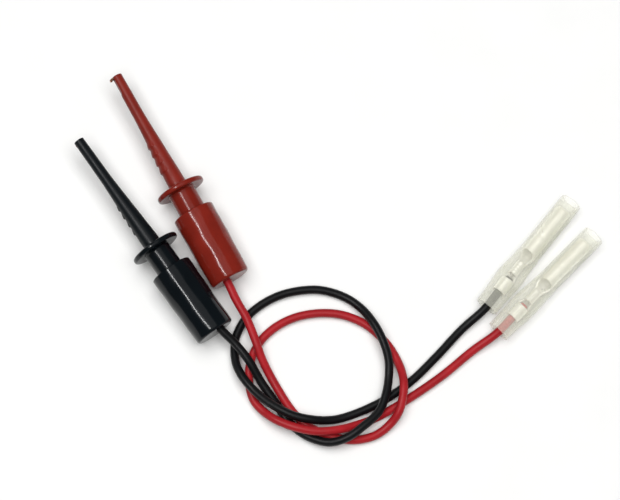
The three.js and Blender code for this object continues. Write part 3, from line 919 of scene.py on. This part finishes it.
def terminal_sheet():
    """The rolled strip's outer face as rows of points: two crimps, a channel and a socket."""
    stations = [  # height, radius, degrees that the strip wraps round
        (0.0, WIRE_CRIMP_RADIUS + 0.05, 357),
        (0.35, WIRE_CRIMP_RADIUS, 357.5),
        (3.35, WIRE_CRIMP_RADIUS, 357.5),
        (3.6, WIRE_CRIMP_RADIUS, 175),
        (4.9, CORE_CRIMP_RADIUS + 0.1, 165),
        (5.15, CORE_CRIMP_RADIUS, 356),
        (CORE_CRIMP_END, CORE_CRIMP_RADIUS, 356),
        (CORE_CRIMP_END + 0.3, CORE_CRIMP_RADIUS + 0.1, 165),
        (10.5, SOCKET_RADIUS - 0.12, 180),
        (11.2, SOCKET_RADIUS, 240),
        (11.55, SOCKET_RADIUS, 360),
        (TERMINAL_LENGTH - 0.5, SOCKET_RADIUS, 360),
        (TERMINAL_LENGTH, SOCKET_RADIUS - 0.1, 360),
    ]
    rows = []
    columns = 48
    at = 0.0
    while at < TERMINAL_LENGTH + 1e-6:
        k = max(i for i, s in enumerate(stations) if s[0] <= at + 1e-9)
        low, high = stations[k], stations[min(k + 1, len(stations) - 1)]
        share = 0.0 if high[0] == low[0] else smoothstep(low[0], high[0], at)
        radius = low[1] + (high[1] - low[1]) * share
        half = math.radians((low[2] + (high[2] - low[2]) * share) / 2)
        if GROOVES[0] < at < GROOVES[1]:
            wave = math.cos((at - GROOVES[0]) * 2 * math.pi / GROOVE_PITCH)
            radius -= GROOVE_DEPTH * (0.5 + 0.5 * wave)
        if BEAD[0] < at < BEAD[1]:
            radius -= BEAD_DEPTH * math.sin(math.pi * (at - BEAD[0]) / (BEAD[1] - BEAD[0]))
        row = []
        for c in range(columns + 1):
            angle = half * (2 * c / columns - 1)
            row.append((radius * math.sin(angle), at, -radius * math.cos(angle)))
        rows.append(row)
        at += 0.12
    return skin(rows, open_ring=True)


def make_terminal(colour, matrix):
    verts, faces = terminal_sheet()
    made = build(f"{colour}_terminal", verts, faces, matrix, LOOKS["tin"], sharp=60)
    wall = made.modifiers.new("wall", "SOLIDIFY")
    wall.thickness = TERMINAL_WALL * MM
    wall.offset = -1
    edges = made.modifiers.new("edges", "BEVEL")
    edges.width = SHEET_EDGE * MM
    edges.segments = 2
    edges.limit_method = "ANGLE"
    edges.angle_limit = math.radians(55)
    return made


def sleeve_shape(bulges, seed):
    """A soft tube pushed over the terminal: wide and a little lumpy over the crimps."""
    left, right = bulges
    outer = filleted(
        [
            (SLEEVE_WIDE - SLEEVE_WALL, 0, 0.1),
            (SLEEVE_WIDE, 0, 0.12),
            (SLEEVE_WIDE, SLEEVE_STEP - SLEEVE_TAPER, 0.35),
            (SLEEVE_SLIM, SLEEVE_STEP + SLEEVE_TAPER, 0.35),
            (SLEEVE_SLIM, SLEEVE_LENGTH, 0.12),
            (SLEEVE_SLIM - SLEEVE_WALL, SLEEVE_LENGTH, 0.1),
            (SLEEVE_SLIM - SLEEVE_WALL, SLEEVE_STEP + SLEEVE_TAPER, 0.3),
            (SLEEVE_WIDE - SLEEVE_WALL, SLEEVE_STEP - SLEEVE_TAPER, 0.3),
        ]
    )

    def soft(angle, radius, height):
        x, z = math.sin(angle), math.cos(angle)
        lump = math.exp(-(((height - BULGE_AT) / BULGE_REACH) ** 2))
        side = left * max(0.0, -x) ** 1.5 + right * max(0.0, x) ** 1.5
        wide = 1 - smoothstep(SLEEVE_STEP - 2, SLEEVE_STEP + 1, height)
        depth, size = SLEEVE_WAVES
        ripple = depth * wobble(x * 2 + seed, height, z * 2, size) * wide
        on_table = z < -0.5
        return radius + lump * side + (0 if on_table else ripple)

    return turned(dense(outer, 0.5), 96, soft)


def make_socket(colour, lead):
    height, lean = sleeve_height(), sleeve_lean()
    matrix = placed(lead["sleeve"], height, lean)
    rolled = placed(lead["sleeve"], height, lean, lead["terminal_roll"])
    terminal = make_terminal(colour, rolled @ Matrix.Translation((0, TERMINAL_AT, 0)))
    tube = sleeve_shape(lead["bulges"], lead["sleeve_seed"])
    sleeve = build(f"{colour}_sleeve", *tube, matrix, LOOKS["clear"], sharp=50)
    for piece, node, slot in (
        (terminal, "bullet_terminal", "tinned_brass"),
        (sleeve, "clear_sleeve", "clear_vinyl"),
    ):
        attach(piece, "leads")
        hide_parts(f"{colour}_{node}")
    return matrix, terminal, sleeve


# --- Wires --------------------------------------------------------------------------------------


def wire_line(lead, clip, sleeve):
    """The wire's middle line in metres, from the solder joint to the conductor's crimp."""
    joint = (side_of(lead) * WIRE_OFFSET, HOOK_TAIL + WIRE_START, 0)
    start = [joint, (lead["exit"], 0, 0)]
    stop = [WIRE_ENTRY, (0, TERMINAL_AT, 0), (0, TERMINAL_AT + CORE_CRIMP_END, 0)]
    points = [clip @ Vector(p) for p in start]
    points += [Vector(p) for p in lead["route"]]
    points += [sleeve @ Vector(p) for p in stop]
    return catmull(points, 16)


def strands_shape(line):
    """Fine strands twisted into one conductor: one in the middle and the rest round it."""
    verts, faces = [], []
    strand = CONDUCTOR_RADIUS * MM / 3  # three lie side by side across the conductor
    across = frames(line)
    at = along(line)
    for n in range(STRAND_COUNT):
        path = []
        for p, d, (u, v) in zip(line, at, across):
            angle = 2 * math.pi * ((n - 1) / (STRAND_COUNT - 1) + d / (STRAND_LAY * MM))
            reach = 0 if n == 0 else 2 * strand
            path.append(p + u * (reach * math.cos(angle)) + v * (reach * math.sin(angle)))
        more, quads = skin(tube_rings(path, [strand] * len(path), 6), caps=True)
        faces += [tuple(i + len(verts) for i in face) for face in quads]
        verts += more
    return verts, faces


def cover_shape(line):
    """The wire's cover: a tube with cut, slightly rounded ends that show the strands."""
    deep = COVER_DEPTH * MM
    lip, edge = WIRE_BORE + 0.03, WIRE_RADIUS - COVER_EDGE
    last = len(line) - 1
    at = along(line)
    ahead = [i for i, d in enumerate(at) if d <= deep]
    behind = [i for i, d in enumerate(at) if d >= at[-1] - deep]
    order = [(i, WIRE_BORE) for i in reversed(ahead)]
    order += [(0, lip), (0, edge)]
    order += [(i, WIRE_RADIUS) for i in range(1, last)]
    order += [(last, edge), (last, lip)]
    order += [(i, WIRE_BORE) for i in reversed(behind)]
    across = frames(line)
    rings = []
    for i, radius in order:
        u, v = across[i]
        ring = []
        for k in range(24):
            angle = 2 * math.pi * k / 24
            r = radius * MM
            ring.append(line[i] + u * (r * math.cos(angle)) + v * (r * math.sin(angle)))
        rings.append(ring)
    return skin(rings, caps=True)


def make_wire(colour, lead, clip, sleeve):
    whole = wire_line(lead, clip, sleeve)
    bare = resampled(whole, 0.5 * MM, 0.2 * MM, 0.2 * MM)
    covered = resampled(whole, 0.55 * MM, STRIPPED * MM, STRIPPED * MM)
    here = Matrix.Identity(4)
    core = build(f"{colour}_conductor", *strands_shape(bare), here, LOOKS["strands"], sharp=80)
    sheath = LOOKS[f"{colour}_wire"]
    cover = build(f"{colour}_wire", *cover_shape(covered), here, sheath, sharp=50)
    for piece, node, slot in (
        (core, "wire_conductor", "tinned_copper"),
        (cover, "wire_insulation", f"{colour}_vinyl"),
    ):
        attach(piece, "leads")
        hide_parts(f"{colour}_{node}")


# --- Stage --------------------------------------------------------------------------------------

LIGHT_TARGET = Vector((0.015, -0.01, 0.006))
LIGHT_HEADING = math.radians(122)


def make_floor():
    """A wide pale sheet of paper."""
    reach, count = 5.0, 24
    verts, faces = [], []
    for i in range(count + 1):
        for j in range(count + 1):
            x = reach * (2 * i / count - 1)
            y = reach * (2 * j / count - 1)
            verts.append((x, y, 0))
    for i in range(count):
        for j in range(count):
            a = i * (count + 1) + j
            faces.append((a, a + count + 1, a + count + 2, a + 1))
    look = Look("pale_paper")
    cloud = look.noise(60, 3)
    tone = look.ramp(cloud, [(0.3, (0.79, 0.79, 0.78)), (0.7, (0.81, 0.81, 0.8))])
    rough = look.range(cloud, 0.55, 0.65)
    paper = look.done(tone, rough, look.bump(look.noise(3000, 2), 0.00001, 0.2))
    floor = build("floor", verts, faces, Matrix.Identity(4), paper)


def add_light(name, place, size, power, mirrored=True, lighting=True):
    """A soft rectangular light that faces the leads, its long side along the clips."""
    data = bpy.data.lights.new(name, "AREA")
    data.shape = "RECTANGLE"
    data.size, data.size_y = size
    data.energy = power
    light = bpy.data.objects.new(name, data)
    light.visible_glossy = mirrored
    light.visible_diffuse = lighting
    light.location = place
    down = (LIGHT_TARGET - Vector(place)).normalized()
    long_side = Vector((math.cos(LIGHT_HEADING), math.sin(LIGHT_HEADING), 0))
    long_side = (long_side - down * long_side.dot(down)).normalized()
    side = long_side.cross(-down)
    light.rotation_euler = Matrix((side, long_side, -down)).transposed().to_euler()
    bpy.context.scene.collection.objects.link(light)


def make_lights():
    world = bpy.data.worlds.new("studio")
    world.use_nodes = True
    world.node_tree.nodes["Background"].inputs["Color"].default_value = (0.98, 0.99, 1, 1)
    world.node_tree.nodes["Background"].inputs["Strength"].default_value = 0.13
    bpy.context.scene.world = world
    for width in (0.66, 0.5, 0.34, 0.18):  # nested, for a box that is brightest along its middle
        add_light("overhead", (0.0, 0.05, 0.75), (width, 0.9), 1.7 * width)
    add_light("fill", (0.03, 0.0, 0.9), (0.9, 0.9), 10.6, mirrored=False)
    add_light("line", (-0.175, -0.035, 0.52), (0.022, 0.3), 1.2, lighting=False)


bpy.context.scene.view_settings.view_transform = "Standard"
make_camera()
for colour, lead in LEADS.items():
    clip_matrix = make_clip(colour, lead)
    sleeve_matrix, *ends = make_socket(colour, lead)
    make_wire(colour, lead, clip_matrix, sleeve_matrix)
make_floor()
make_lights()

bpy.context.view_layer.update()
